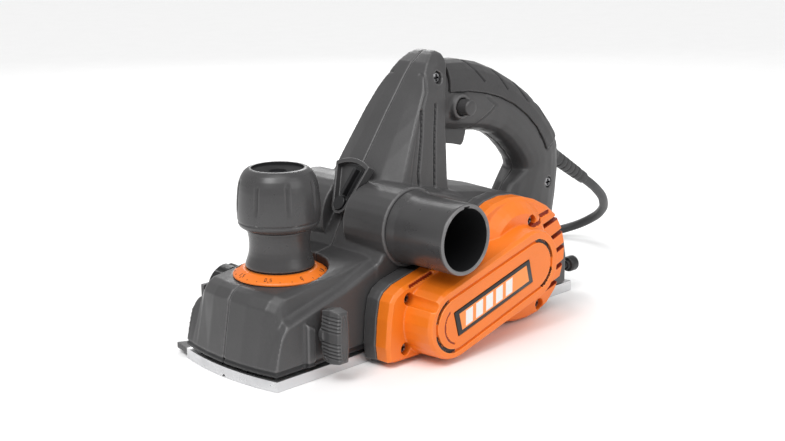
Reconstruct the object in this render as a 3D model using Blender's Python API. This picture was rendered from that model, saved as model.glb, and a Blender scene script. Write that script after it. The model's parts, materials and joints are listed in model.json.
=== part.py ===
"""Portable electric planer with a belt-driven cutter drum, a depth knob, a closed handle,
a side chip outlet and a mains cord.

Axes: the front of the tool points along -X, its left (belt) side along -Y, up is +Z.
The flat bottom of the rear sole lies on z = 0 and is centred on the origin.
Lengths below are millimetres; every mesh is written in metres.
"""
import math

import bmesh
import bpy
from mathutils import Matrix, Vector

MM = 0.001
GAP = 0.3

# soles
SOLE_HALF = 45.0
SOLE_T, FRONT_T = 7.5, 6.7
REAR_X0, REAR_X1 = -79.2, 79.2
FRONT_X0, FRONT_X1 = -211.7, -117.5
FRONT_BULGE = 5.3
# cutter drum
DRUM = (-99.0, 25.5)
TIP_R = 25.4
DRUM_R = 24.0
BLADE_HALF = 41.0
# motor
MOTOR = (-19.0, 48.0)
# depth knob
KNOB_X = -168.6
# chip outlet
OUTLET = (-96.5, 82.6)
OUTLET_R, OUTLET_BORE = 23.0, 20.0
# chip selector: pivot point on the front slope and the slope's outward normal
SEL_P = Vector((-113.4, 0.0, 93.2))
SEL_N = Vector((-0.894, 0.0, 0.447)).normalized()
# mains cord: point inside the handle's rear and the way out
CORD_AT = Vector((100.0, 0.0, 99.4))
CORD_DIR = Vector((0.857, 0.0, -0.515)).normalized()
# fence clamp on the left flank, rebate stop's clamp on the right one, rear knob
FENCE = (-173.0, 29.5)
REBATE = (-166.0, 36.0)
REAR_KNOB_Y, REAR_KNOB_Z = -40.0, 18.8
# belt case and cover
CASE_Y0, CASE_Y1 = -45.3, -55.0
COVER_Y0, COVER_Y1 = -55.3, -89.0
LOBE_A = (-99.0, 27.0)
LOBE_B = (-19.0, 48.5)

for leftover in list(bpy.data.objects):
    bpy.data.objects.remove(leftover, do_unlink=True)


# ---------------------------------------------------------------- materials
def material(name, rgb, metallic=0.0, rough=0.5):
    mat = bpy.data.materials.new(name)
    mat.use_nodes = True
    bsdf = mat.node_tree.nodes["Principled BSDF"]
    bsdf.inputs["Base Color"].default_value = (*rgb, 1.0)
    bsdf.inputs["Metallic"].default_value = metallic
    bsdf.inputs["Roughness"].default_value = rough
    return mat


CHARCOAL = ((0.075, 0.073, 0.074), 0.0, 0.5)
DARK = ((0.03, 0.03, 0.031), 0.0, 0.55)
ORANGE = ((0.9, 0.19, 0.015), 0.0, 0.42)
STEEL = ((0.55, 0.55, 0.56), 1.0, 0.3)
ALU = ((0.85, 0.85, 0.86), 1.0, 0.35)
RUBBER = ((0.02, 0.02, 0.02), 0.0, 0.8)
COPPER = ((0.7, 0.3, 0.12), 1.0, 0.35)


# ---------------------------------------------------------------- mesh helpers
def add(name, verts, faces, look=None, smooth=False):
    """One mesh object from millimetre points; look None makes a hidden cutter."""
    mesh = bpy.data.meshes.new(name)
    mesh.from_pydata([Vector(v) * MM for v in verts], [], faces)
    bm = bmesh.new()
    bm.from_mesh(mesh)
    bmesh.ops.remove_doubles(bm, verts=bm.verts, dist=1e-7)
    bmesh.ops.recalc_face_normals(bm, faces=bm.faces)
    bm.to_mesh(mesh)
    bm.free()
    obj = bpy.data.objects.new(name, mesh)
    bpy.context.scene.collection.objects.link(obj)
    if look is None:
        obj.hide_render = True
        obj.display_type = "WIRE"
    else:
        mesh.materials.append(material(name, *look))
        for poly in mesh.polygons:
            poly.use_smooth = smooth
    return obj


def loft(name, rings, look=None, smooth=False, closed=False):
    """Skin through equal-length point rings; capped at both ends unless closed."""
    n = len(rings[0])
    verts = [p for ring in rings for p in ring]
    faces = []
    last = len(rings) if closed else len(rings) - 1
    for i in range(last):
        a, b = i * n, ((i + 1) % len(rings)) * n
        for j in range(n):
            k = (j + 1) % n
            faces.append((a + j, a + k, b + k, b + j))
    if not closed:
        faces.append(tuple(range(n)))
        faces.append(tuple(range(len(verts) - n, len(verts))))
    return add(name, verts, faces, look, smooth)


def prism(name, outline, y0, y1, look=None, smooth=False):
    """A polygon in XZ pushed along Y."""
    return loft(name, [[(x, y, z) for x, z in outline] for y in (y0, y1)], look, smooth)


def slab(name, outline, z0, z1, look=None):
    """A polygon in XY pushed along Z."""
    return loft(name, [[(x, y, z) for x, y in outline] for z in (z0, z1)], look)


def box(name, lo, hi, look=None):
    outline = [(lo[0], lo[1]), (hi[0], lo[1]), (hi[0], hi[1]), (lo[0], hi[1])]
    return slab(name, outline, lo[2], hi[2], look)


def basis(axis):
    axis = Vector(axis).normalized()
    side = Vector((0, 0, 1)) if abs(axis.z) < 0.9 else Vector((1, 0, 0))
    u = axis.cross(side).normalized()
    return axis, u, axis.cross(u)


def lathe(name, profile, at, axis, look=None, seg=32, ring=False, smooth=True):
    """Turn (radius, height) pairs about an axis; ring joins the last pair to the first."""
    axis, u, v = basis(axis)
    at = Vector(at)
    rings = []
    for r, t in profile:
        rings.append([
            at + axis * t + (u * math.cos(a) + v * math.sin(a)) * max(r, 1e-6)
            for a in (2 * math.pi * k / seg for k in range(seg))
        ])
    obj = loft(name, rings, look, smooth, closed=ring)
    return obj


def cyl(name, at, axis, r, t0, t1, look=None, seg=32, bore=None):
    if bore is None:
        return lathe(name, [(r, t0), (r, t1)], at, axis, look, seg)
    return lathe(name, [(r, t0), (r, t1), (bore, t1), (bore, t0)], at, axis, look, seg, ring=True)


def boolean(obj, tool, kind="DIFFERENCE"):
    mod = obj.modifiers.new(kind.lower(), "BOOLEAN")
    mod.operation = kind
    mod.solver = "EXACT"
    mod.object = tool
    return obj


def bevel(obj, width, segments=2, angle=35.0):
    mod = obj.modifiers.new("bevel", "BEVEL")
    mod.width = width * MM
    mod.segments = segments
    mod.limit_method = "ANGLE"
    mod.angle_limit = math.radians(angle)
    return obj


def set_origin(obj, point):
    """Move the object's origin to a point (mm) and keep the mesh where it is."""
    p = Vector(point) * MM
    obj.data.transform(Matrix.Translation(-p))
    obj.location = p
    return obj


def arc(cx, cz, r, a0, a1, n):
    return [
        (cx + r * math.cos(math.radians(a0 + (a1 - a0) * k / (n - 1))),
         cz + r * math.sin(math.radians(a0 + (a1 - a0) * k / (n - 1))))
        for k in range(n)
    ]


def capsule(pa, ra, pb, rb, n=14):
    """Outline round two circles, A ahead of B, joined by their outer tangents."""
    dx, dz = pb[0] - pa[0], pb[1] - pa[1]
    d = math.hypot(dx, dz)
    base = math.degrees(math.atan2(dz, dx))
    lean = math.degrees(math.acos((ra - rb) / d))
    out = arc(pa[0], pa[1], ra, base + lean, base + 360 - lean, n)
    return out + arc(pb[0], pb[1], rb, base - lean, base + lean, n)


def tube_ring(cx, cz, nx, nz, h_out, h_in, w, side=0, power=2.4, n=24):
    """Handle section: h_out and h_in along the normal (nx, nz), w each way along Y.

    side picks the half on that side of the parting plane, 0 the whole section.
    """
    length = math.hypot(nx, nz)
    nx, nz = nx / length, nz / length
    ring = []
    for k in range(n // 2 + 1 if side else n):
        a = 2 * math.pi * (k if side else k + 0.5) / n
        c, s = math.cos(a), math.sin(a)
        ec = math.copysign(abs(c) ** (2 / power), c)
        es = math.copysign(abs(s) ** (2 / power), s)
        h = h_out if c > 0 else h_in
        y = side * max(w * es, GAP / 2) if side else w * es
        ring.append((cx + nx * h * ec, y, cz + nz * h * ec))
    return ring


# ---------------------------------------------------------------- soles
def front_arc(n=13):
    """Plan points of the curved front edge from -Y to +Y."""
    pts = []
    for k in range(n):
        y = -SOLE_HALF + 2 * SOLE_HALF * k / (n - 1)
        pts.append((FRONT_X0 - FRONT_BULGE * (1 - (y / SOLE_HALF) ** 2), y))
    return pts


rear = slab(
    "rear_sole",
    [(REAR_X0, -SOLE_HALF), (REAR_X1, -SOLE_HALF), (REAR_X1, SOLE_HALF), (REAR_X0, SOLE_HALF)],
    0.0, SOLE_T, ALU,
)
boolean(rear, prism("cut_rear_lip", [(-90, 3.0), (-79.0, 3.0), (-72, 9), (-90, 9)], -50, 50))

front = slab("front_sole", front_arc() + [(FRONT_X1, SOLE_HALF), (FRONT_X1, -SOLE_HALF)],
             0.0, FRONT_T, ALU)
boolean(front, prism("cut_front_lip", [(-117.0, 2.6), (-126, 9), (-110, 9), (-110, 2.6)], -50, 50))
boolean(front, loft("cut_front_vee", [
    [(x, -2.6, -0.5), (x, 2.6, -0.5), (x, 0, 2.2)] for x in (-225, -110)]))
boolean(front, cyl("add_front_post", (KNOB_X, 0, 0), (0, 0, 1), 9.0, 4.0, 26.0), "UNION")
boolean(front, cyl("cut_front_post", (KNOB_X, 0, 0), (0, 0, 1), 4.3, 8.0, 30.0))
set_origin(front, (KNOB_X, 0, FRONT_T / 2))

# ---------------------------------------------------------------- housing solids
NOSE_RINGS = []
for y, x_top, z_top, z_rear, x_low, shoulder in (
    (0.0, -202.5, 56.3, 67.0, -217.2, 53.0),
    (16.0, -201.5, 56.2, 66.5, -216.6, 52.5),
    (30.0, -198.5, 55.5, 66.0, -214.8, 51.5),
    (35.5, -195.0, 53.5, 65.0, -213.6, 49.0),
    (38.0, -196.0, 42.0, 64.0, -213.0, 40.0),
    (43.5, -197.0, 40.0, 63.0, -212.0, 37.5),
    (44.7, -199.0, 38.5, 61.0, -211.6, 35.0),
):
    NOSE_RINGS.append((y, [
        (x_low, 9.0), (x_low, 12.5), (x_top - 8.5, shoulder - 3.5), (x_top - 4.5, shoulder + 1.5),
        (x_top, z_top), (-152.0, z_top + (z_rear - z_top) * 0.55), (-124.0, z_rear),
        (-108.0, z_rear - 6), (-108.0, 10.3), (-117.0, 10.3), (-117.6, 9.0),
    ]))

BODY_RINGS = []
for y, dz, grow in ((0.0, 0.0, 0.0), (20.0, -0.8, 0.0), (34.0, -3.0, -1.0), (42.0, -6.5, -2.5),
                    (45.0, -9.0, -4.0)):
    rear_x = 84.0 - 12.0 * (y / SOLE_HALF) ** 2
    BODY_RINGS.append((y, [
        (-126.0, 10.0), (-126.0, 63.0), (-124.0 + y * 0.03, 67.0 + dz * 0.3),
        (-110.0 + y * 0.12, 92.0 + dz * 0.4), (-99.0 + y * 0.14, 105.0 + dz * 0.25),
        (-84.0, 107.0 + dz * 0.3), (-62.0, 103.0 + dz * 0.6), (-38.0, 97.5 + dz),
        (-12.0, 93.0 + dz), (8.0, 88.5 + dz), (30.0, 81.0 + dz), (48.0 + grow, 72.0 + dz),
        (62.0 + grow, 58.0 + dz), (rear_x - 3, 42.0), (rear_x, 28.0), (rear_x - 0.5, 8.0),
        (-114.0, 8.0), (-114.6, 10.0),
    ]))


def tower_ring(z, xf, xe, xr, w, wr, side):
    """Half plan ring: ridge xf, front edge (xe, w), rear edge (xr, wr)."""
    near = [(xf, GAP / 2), (xf + (xe - xf) * 0.35, w * 0.55), (xe, w), (xe + 4, w + 0.6),
            ((xe + xr) / 2, (w + wr) / 2 + 0.8), (xr - 2, wr), (xr, wr - 2.5), (xr, GAP / 2)]
    return [(x, side * y, z) for x, y in near]


TOWER = [
    (72.0, -119.0, -112.0, -40.0, 38.0, 34.0),
    (92.0, -110.6, -102.0, -41.0, 37.0, 31.0),
    (105.0, -103.0, -92.0, -40.0, 33.5, 28.5),
    (120.0, -93.0, -84.0, -38.0, 30.8, 26.0),
    (136.0, -81.5, -75.0, -36.0, 27.6, 23.0),
    (150.0, -71.5, -67.0, -33.0, 24.7, 20.5),
    (163.0, -61.5, -58.5, -31.0, 21.6, 18.5),
    (173.0, -54.0, -52.5, -29.0, 17.0, 17.2),
    (181.0, -47.0, -46.0, -27.5, 13.5, 15.5),
    (186.0, -40.0, -39.5, -28.5, 10.5, 12.0),
    (188.0, -36.5, -36.0, -31.0, 7.5, 8.5),
]

HANDLE = [
    # cx, cz, nx, nz, h_out, h_in, w
    (-44.0, 156.0, 0.0, 1.0, 21.0, 22.0, 14.5),
    (-26.0, 155.5, 0.03, 1.0, 24.6, 24.0, 16.5),
    (-8.0, 154.5, 0.09, 1.0, 24.6, 25.5, 17.5),
    (8.0, 151.5, 0.20, 0.98, 24.2, 24.5, 17.5),
    (24.0, 147.0, 0.33, 0.94, 22.6, 22.5, 17.5),
    (40.0, 140.0, 0.46, 0.89, 21.4, 21.0, 17.5),
    (54.0, 131.0, 0.56, 0.83, 21.4, 20.8, 17.5),
    (66.0, 120.5, 0.67, 0.74, 22.2, 20.8, 17.3),
    (75.0, 109.0, 0.80, 0.60, 24.0, 20.0, 17.0),
    (78.6, 102.4, 0.88, 0.48, 26.0, 20.2, 16.8),
    (80.5, 97.0, 0.93, 0.36, 27.5, 20.5, 16.6),
    (80.0, 84.0, 1.0, 0.10, 28.0, 29.5, 16.4),
    (76.0, 68.0, 1.0, -0.06, 29.5, 34.0, 17.0),
    (71.0, 50.0, 1.0, -0.09, 29.5, 36.0, 18.5),
    (66.0, 30.0, 1.0, -0.06, 28.0, 36.0, 20.0),
    (62.0, 8.3, 1.0, 0.0, 22.0, 34.0, 20.0),
]


def handle_solid(name, shrink, first, last, side=0):
    rings = [
        tube_ring(cx, cz, nx, nz, ho - shrink, hi - shrink, w - shrink, side)
        for cx, cz, nx, nz, ho, hi, w in HANDLE[first:last]
    ]
    return loft(name, rings)


def y_loft(name, rings, side, look=None):
    return loft(name, [[(x, side * max(y, GAP / 2), z) for x, z in outline]
                       for y, outline in rings], look)


def sector(name, r_small, r_big, half_angle, n0, n1, look=None):
    """Fan-shaped plate on the selector slope between heights n0 and n1 above the pivot point."""
    up = SEL_N.cross(Vector((0, 1, 0))).normalized()
    if up.z < 0:
        up = -up
    outline = [(r_small * math.cos(math.radians(a)), r_small * math.sin(math.radians(a)))
               for a in range(100, 261, 20)]
    outline += [(r_big * math.cos(math.radians(a)), r_big * math.sin(math.radians(a)))
                for a in (half_angle * k / 5 for k in range(-5, 6))]
    side = Vector((0, 1, 0))
    return loft(name, [[SEL_P + up * u + side * v + SEL_N * n for u, v in outline]
                       for n in (n0, n1)], look)


def screw_cutter(name, at, axis, head_r, head_t, shank_r, depth):
    """Stepped hole: head pocket from +head_t outwards, shank to -depth."""
    return lathe(name, [(shank_r, -depth), (shank_r, 0), (head_r, 0), (head_r, head_t)],
                 at, axis, None, 14)


# x, z, the far end of the shank and the underside of the head
COVER_SCREWS = [(-119.0, 43.0, -44.2, -61.3), (-5.0, 74.5, -39.5, -68.5), (-122.0, 10.5, -46.0, -61.3),
                (14.0, 8.8, -46.0, -61.3)]
# cooling slots through the rim of the cover: inner end, outer end
FIN_SLOTS = [(12.0, 63.5, 44.0, 72.5), (24.6, 54.1, 48.0, 61.5), (32.0, 44.2, 50.0, 50.2),
             (32.5, 31.6, 50.0, 38.4), (10.0, 15.6, 44.0, 24.6)]
FIN_HALF = 1.6
HOUSING_SCREWS = [
    ("housing_screw_tower", (-40.0, -13.6, 171.0)),
    ("housing_screw_post", (86.0, -12.8, 78.0)),
    ("housing_screw_body", (52.0, -37.0, 20.0)),
]

for side, name in ((-1, "left_housing"), (1, "right_housing")):
    shell = y_loft(name, BODY_RINGS, side, CHARCOAL)
    boolean(shell, y_loft(name + "_nose", NOSE_RINGS, side), "UNION")
    boolean(shell, loft(name + "_tower", [tower_ring(*row, side) for row in TOWER]), "UNION")
    bail = handle_solid(name + "_handle", 0.0, 0, len(HANDLE), side)
    # slot of the trigger through the handle's underside
    boolean(bail, prism(name + "_trigger_slot", [(-27.6, 119.0), (4.5, 118.4), (4.7, 146.0), (-27.4, 146.2)],
                        -6.2, 6.2))
    boolean(shell, bail, "UNION")
    # collar round the chip outlet
    boolean(shell, cyl(name + "_collar", (OUTLET[0], 0, OUTLET[1]), (0, side, 0), 26.5,
                       10.0, 47.5, seg=28), "UNION")
    # boss of the lock-off button
    if side < 0:
        boolean(shell, lathe(name + "_boss", [(9.6, 10.0), (9.6, 16.5), (8.4, 19.5)],
                             (-16.0, 0, 148.5), (0, -1, 0), None, 28), "UNION")
    # nose cavity, drum chamber, chip chute, motor bay, handle bay, tower bay
    boolean(shell, loft(name + "_nose_bay", [
        [(x0, -w, z), (-131.0, -w, z), (-131.0, w, z), (x0, w, z)]
        for z, x0, w in ((5.0, -208.5, 39.5), (36.0, -201.0, 37.0), (49.5, -197.0, 31.5))]))
    boolean(shell, cyl(name + "_drum_bay", (DRUM[0], 0, DRUM[1]), (0, 1, 0), 27.2, -42.0, 42.0, seg=28))
    boolean(shell, box(name + "_mouth", (-126.1, -42, -5), (-72.0, 42, 25.5)))
    boolean(shell, box(name + "_chute", (-113.0, -36, 30), (-80.0, 36, 78)))
    boolean(shell, cyl(name + "_chute_bore", (OUTLET[0], 0, OUTLET[1]), (0, side, 0), 20.2, 12.0, 60.0,
                       seg=28))
    boolean(shell, cyl(name + "_flap_bay", SEL_P, SEL_N, 15.5, -29.5, -9.5, seg=28))
    boolean(shell, cyl(name + "_motor_bay", (MOTOR[0], 0, MOTOR[1]), (0, 1, 0), 36.8, -37.0, 36.0, seg=28))
    boolean(shell, box(name + "_wiring_bay", (16.0, -28, 12.0), (44.0, 28, 60.0)))
    boolean(shell, handle_solid(name + "_handle_bay", 3.6, 1, 13))
    boolean(shell, loft(name + "_tower_bay", [
        [(xf + 4, -1, z), (xe + 4, w - 4, z), (xr - 4, wr - 4, z), (xr - 4, -1, z)]
        for z, xf, xe, xr, w, wr in (
            (124.0, -91.0, -82.0, -38.0, 30.0, 25.4), (150.0, -71.5, -67.0, -33.0, 24.7, 20.5),
            (172.0, -55.0, -53.0, -30.0, 17.5, 17.2))]))
    # pocket of the depth scale ring, bore of the knob
    boolean(shell, cyl(name + "_ring_pocket", (KNOB_X, 0, 0), (0, 0, 1), 31.0, 57.0, 80.0, seg=32))
    boolean(shell, cyl(name + "_knob_bore", (KNOB_X, 0, 0), (0, 0, 1), 20.4, 40.0, 80.0))
    # bearing pockets, and what each side has of its own
    motor_at = (MOTOR[0], 0, MOTOR[1])
    drum_at = (DRUM[0], 0, DRUM[1])
    if side < 0:
        boolean(shell, cyl(name + "_motor_bearing", motor_at, (0, -1, 0), 11.4, 30.0, 60.0))
        boolean(shell, cyl(name + "_drum_bearing", drum_at, (0, -1, 0), 14.0, 40.0, 60.0))
        boolean(shell, cyl(name + "_lock_bore", (-16.0, 0, 148.5), (0, -1, 0), 6.2, 8.3, 40.0, seg=28))
        for k, (sx, sz, _, _) in enumerate(COVER_SCREWS[:2]):
            boolean(shell, cyl(f"{name}_s{k}", (sx, 0, sz), (0, -1, 0), 2.3, 38.5, 60.0, seg=10))
        for k, (_, at) in enumerate(HOUSING_SCREWS):
            boolean(shell, screw_cutter(f"{name}_h{k}", at, (0, -1, 0), 4.4, 30.0, 2.3, 30.0))
    else:
        boolean(shell, cyl(name + "_motor_bearing", motor_at, (0, 1, 0), 9.8, 30.0, 41.8))
        boolean(shell, cyl(name + "_drum_bearing", drum_at, (0, 1, 0), 13.4, 40.0, 60.0))
        for k, (_, at) in enumerate(HOUSING_SCREWS):
            boolean(shell, cyl(f"{name}_h{k}", at, (0, -1, 0), 2.3, -30.0, 5.0, seg=10))
        # cooling vents of the motor
        for k in range(6):
            zc = 26.0 + 8.0 * k
            boolean(shell, box(f"{name}_v{k}", (-34.0, 30, zc), (-4.0, 60, zc + 3.2)))
    # pocket of the selector frame and the selector shaft hole
    boolean(shell, sector(name + "_selector_pocket", 7.7, 31.8, 30.4, -3.4, 20.0))
    boolean(shell, cyl(name + "_selector_bore", SEL_P, SEL_N, 4.3, -30.0, 12.0, seg=24))
    # cord gland bore at the rear of the handle
    boolean(shell, cyl(name + "_gland_bore", CORD_AT, CORD_DIR, 6.8, -14.0, 30.0, seg=28))
    boolean(shell, cyl(name + "_gland_flange", CORD_AT, CORD_DIR, 8.2, -10.0, -1.0, seg=28))
    # side rib, fence stud hole, rebate stop seat
    if side < 0:
        boolean(shell, prism(name + "_rib", [(-188.0, 10.0), (-181.5, 10.0), (-181.5, 34.0), (-188.0, 38.0)],
                             -42.5, -47.5), "UNION")
    stud_x, stud_z = REBATE if side > 0 else FENCE
    boolean(shell, cyl(name + "_stud_bore", (stud_x, 0, stud_z), (0, side, 0), 3.4, 30.0, 60.0, seg=20))
    if side < 0:
        boolean(shell, cyl(name + "_rear_knob_bore", (60.0, REAR_KNOB_Y, REAR_KNOB_Z), (1, 0, 0),
                           2.4, 0.0, 40.0, seg=16))
    else:
        # blanked right-hand chip opening
        boolean(shell, cyl(name + "_blank_seat", (OUTLET[0], 0, OUTLET[1]), (0, 1, 0), 22.4, 44.5, 60.0))

# ---------------------------------------------------------------- handle grip
GRIP = HANDLE[1:10]


def saddle(name, out, inn, level, ends, look=None, n=10):
    """Arch over the handle between two offsets of its surface, from `level` above the section centre."""
    rings = []
    for k, (cx, cz, nx, nz, ho, _, w) in enumerate(GRIP):
        length = math.hypot(nx, nz)
        ux, uz = nx / length, nz / length
        along = -ends if k == 0 else (ends if k == len(GRIP) - 1 else 0.0)
        ox, oz = cx + ux * level + uz * along, cz + uz * level - ux * along
        ring = []
        for offset, order in ((out, 1), (inn, -1)):
            arch = []
            for j in range(n):
                a = math.pi * j / (n - 1)
                c, s = math.sin(a) ** (2 / 2.4), math.cos(a)
                y = math.copysign(abs(s) ** (2 / 2.4), s) * (w + offset)
                h = (ho - level + offset) * c
                arch.append((ox + ux * h, y, oz + uz * h))
            ring += arch[::order]
        rings.append(ring)
    return loft(name, rings, look, smooth=look is not None)


saddle("handle_grip", 1.0, -1.6, 4.0, 0.0, RUBBER)
seat = saddle("cut_seat", 5.0, -1.9, 3.7, 0.8)
for name in ("left_housing", "right_housing"):
    boolean(bpy.data.objects[name], seat)


# ---------------------------------------------------------------- fasteners
def screw(name, at, axis, head_r, head_h, shank_r, length):
    """Pan-head screw with a cross recess; `at` is the underside of the head."""
    obj = lathe(name, [(shank_r, -length), (shank_r, 0), (head_r, 0), (head_r, head_h * 0.55),
                       (head_r * 0.72, head_h)], at, axis, STEEL, 16)
    axis, u, v = basis(axis)
    r, t = head_r * 0.62, head_r * 0.16
    plus = [(r, -t), (r, t), (t, t), (t, r), (-t, r), (-t, t), (-r, t), (-r, -t), (-t, -t),
            (-t, -r), (t, -r), (t, -t)]
    boolean(obj, loft("cut_" + name, [
        [Vector(at) + u * a + v * b + axis * n for a, b in plus]
        for n in (head_h * 0.3, head_h * 1.5)]))
    return obj


for name, at in HOUSING_SCREWS:
    screw(name, (at[0], at[1] - GAP, at[2]), (0, -1, 0), 4.0, 2.4, 2.0, 22.0)
for k, (sx, sz, end, head) in enumerate(COVER_SCREWS):
    screw(f"cover_screw_{k + 1}", (sx, head, sz), (0, -1, 0), 3.4, 2.2, 2.0, end - head)

# ---------------------------------------------------------------- belt case and cover
COVER_OUT = [
    (-137.0, 4.0), (-138.4, 14.0), (-137.0, 32.0), (-134.6, 43.5), (-131.0, 48.0), (-124.0, 51.6),
    (-114.0, 54.0), (-99.0, 57.5), (-80.0, 66.0), (-62.0, 77.0), (-48.0, 85.0), (-34.0, 90.5),
    (-20.0, 92.2), (-6.0, 90.8), (8.0, 86.4), (22.0, 79.4), (33.0, 71.0), (40.0, 60.0),
    (43.5, 48.0), (43.0, 36.0), (39.0, 24.0), (33.0, 15.0), (24.0, 6.8), (14.0, 2.6), (2.0, 1.0),
    (-10.0, 1.4), (-24.0, 4.0), (-40.0, 5.5), (-62.0, 4.0), (-84.0, 2.4), (-110.0, 2.0),
    (-130.0, 2.6),
]


def inset(outline, d):
    """Move a clockwise outline inwards by d."""
    n = len(outline)
    out = []
    for i in range(n):
        (ax, az), (bx, bz), (cx, cz) = outline[i - 1], outline[i], outline[(i + 1) % n]
        tx, tz = cx - ax, cz - az
        length = math.hypot(tx, tz)
        out.append((bx + tz / length * d, bz - tx / length * d))
    return out


def layers(name, steps, look=None):
    return loft(name, [[(x, y, z) for x, z in outline] for y, outline in steps], look)


case = layers("belt_case", [(CASE_Y0, inset(COVER_OUT, -1.0)), (-50.0, inset(COVER_OUT, -0.8)),
                            (CASE_Y1, COVER_OUT)], CHARCOAL)
boolean(case, prism("cut_case_bay", capsule(LOBE_A, 21.5, LOBE_B, 22.7), -48.6, -60.0))
boolean(case, cyl("cut_case_drum", (DRUM[0], 0, DRUM[1]), (0, -1, 0), 13.5, 44.0, 50.0))
boolean(case, cyl("cut_case_motor", (MOTOR[0], 0, MOTOR[1]), (0, -1, 0), 5.0, 44.0, 50.0, seg=24))
# relief round the outlet collar
boolean(case, cyl("cut_case_outlet", (OUTLET[0], 0, OUTLET[1]), (0, -1, 0), 26.9, 40.0, 60.0))

cover = layers("belt_cover", [(COVER_Y0, inset(COVER_OUT, 0.3)), (-64.5, inset(COVER_OUT, 0.3)),
                              (-66.5, inset(COVER_OUT, 2.2))], ORANGE)
# hump round the rear of the belt lobe
boolean(cover, layers("add_hump", [(y, arc(-17.0, 54.0, radius, 0.0, 350.0, 36)) for y, radius in (
    (-60.0, 35.8), (-66.5, 35.4), (-71.0, 31.0), (-73.5, 27.5))]), "UNION")
boolean(cover, layers("add_lobe", [
    (-58.0, capsule(LOBE_A, 25.2, LOBE_B, 26.2)), (-67.0, capsule(LOBE_A, 25.0, LOBE_B, 25.8)),
    (-86.5, capsule(LOBE_A, 24.0, LOBE_B, 24.6)), (COVER_Y1, capsule(LOBE_A, 22.6, LOBE_B, 23.4))]),
    "UNION")
boolean(cover, prism("cut_cover_bay", capsule(LOBE_A, 20.4, LOBE_B, 21.6), -50.0, -84.5))
groove = prism("cut_rim", capsule(LOBE_A, 19.0, LOBE_B, 18.0), -87.2, -92.0)
boolean(groove, prism("cut_rim_core", capsule(LOBE_A, 17.0, LOBE_B, 16.0), -86.0, -93.0))
boolean(cover, groove)
boolean(cover, cyl("cut_cover_outlet", (OUTLET[0], 0, OUTLET[1]), (0, -1, 0), 25.0, 50.0, 100.0))
for k, (x0, z0, x1, z1) in enumerate(FIN_SLOTS):
    length = math.hypot(x1 - x0, z1 - z0)
    tx, tz = (z0 - z1) / length * FIN_HALF, (x1 - x0) / length * FIN_HALF
    corners = [(x0 + tx, z0 + tz), (x0 - tx, z0 - tz), (x1 - tx, z1 - tz), (x1 + tx, z1 + tz)]
    boolean(cover, prism(f"cut_fin{k}", corners, -58.5, -80.0))
for k, (sx, sz, _, head) in enumerate(COVER_SCREWS):
    for body, base in ((case, -40.0), (cover, -52.0)):
        boolean(body, cyl(f"cut_{body.name}_{k}", (sx, 0, sz), (0, -1, 0), 2.3, -base, 80.0, seg=16))
    boolean(cover, cyl(f"cut_head{k}", (sx, 0, sz), (0, -1, 0), 4.2, GAP - 0.6 - head, 95.0, seg=24))

# label plate lies in a shallow seat on the lobe
LABEL_AT, LABEL_LEAN = (-61.5, 36.3), math.radians(15.0)


def label_outline(w, h):
    out = []
    for a, b in ((-1, -1), (1, -1), (1, 1), (-1, 1)):
        u, v = a * w / 2, b * h / 2
        out.append((LABEL_AT[0] + u * math.cos(LABEL_LEAN) - v * math.sin(LABEL_LEAN),
                    LABEL_AT[1] + u * math.sin(LABEL_LEAN) + v * math.cos(LABEL_LEAN)))
    return out


boolean(cover, prism("cut_label", label_outline(77.6, 17.6), -88.0, -92.0))
prism("label_plate", label_outline(77.0, 17.0), -88.3, -89.4, DARK)

# ---------------------------------------------------------------- belt drive
DRUM_AT = (DRUM[0], 0, DRUM[1])
MOTOR_AT = (MOTOR[0], 0, MOTOR[1])
DRUM_PULLEY_R, MOTOR_PULLEY_R = 14.5, 10.0
cyl("drum_pulley", DRUM_AT, (0, -1, 0), DRUM_PULLEY_R, 59.5, 78.0, STEEL, 24, bore=6.3)
cyl("motor_pulley", MOTOR_AT, (0, -1, 0), MOTOR_PULLEY_R, 59.5, 78.0, STEEL, 24, bore=4.3)
belt_out = capsule(DRUM, DRUM_PULLEY_R + 2.5, MOTOR, MOTOR_PULLEY_R + 2.5, 16)
belt_in = capsule(DRUM, DRUM_PULLEY_R + 0.3, MOTOR, MOTOR_PULLEY_R + 0.3, 16)
loft("drive_belt", [
    [(x, y, z) for x, z in outline]
    for y, outline in ((-61.0, belt_out), (-76.5, belt_out), (-76.5, belt_in), (-61.0, belt_in))],
    RUBBER, closed=True)

# ---------------------------------------------------------------- cutter drum
drum = lathe("cutter_drum", [
    (6.0, -44.4), (6.0, -41.2), (11.0, -41.2), (11.0, -40.8), (DRUM_R, -40.8), (DRUM_R, 40.8), (11.0, 40.8),
    (11.0, 41.2), (6.0, 41.2), (6.0, 79.5)], DRUM_AT, (0, -1, 0), ALU, 40)
for k in range(2):
    s = 1 if k == 0 else -1
    turn = math.radians(20.0)

    def drum_xz(u, v, s=s, turn=turn):
        """Point at u along the blade's radius and v across it."""
        c, q = math.cos(turn), math.sin(turn)
        return (DRUM[0] + s * (u * c - v * q), DRUM[1] + s * (u * q + v * c))

    slot = [drum_xz(u, v) for u, v in ((12.5, -4.0), (28.0, -4.0), (28.0, 5.4), (12.5, 5.4))]
    boolean(drum, prism(f"cut_blade_slot{k}", slot, -60.0, 60.0))
    prism(f"cutter_blade_{k + 1}", [drum_xz(u, v) for u, v in (
        (13.0, -3.6), (TIP_R - 1.2, -3.6), (TIP_R - 0.3, -2.5), (13.0, -2.5))],
          -BLADE_HALF, BLADE_HALF, STEEL)
    prism(f"blade_clamp_{k + 1}", [drum_xz(u, v) for u, v in (
        (13.0, -2.1), (22.0, -2.1), (23.2, 0.5), (22.6, 5.0), (13.0, 5.0))], -40.5, 40.5, STEEL)
set_origin(drum, DRUM_AT)
cyl("drum_bearing_left", DRUM_AT, (0, -1, 0), 13.2, 42.3, 48.3, STEEL, 24, bore=6.3)
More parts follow.
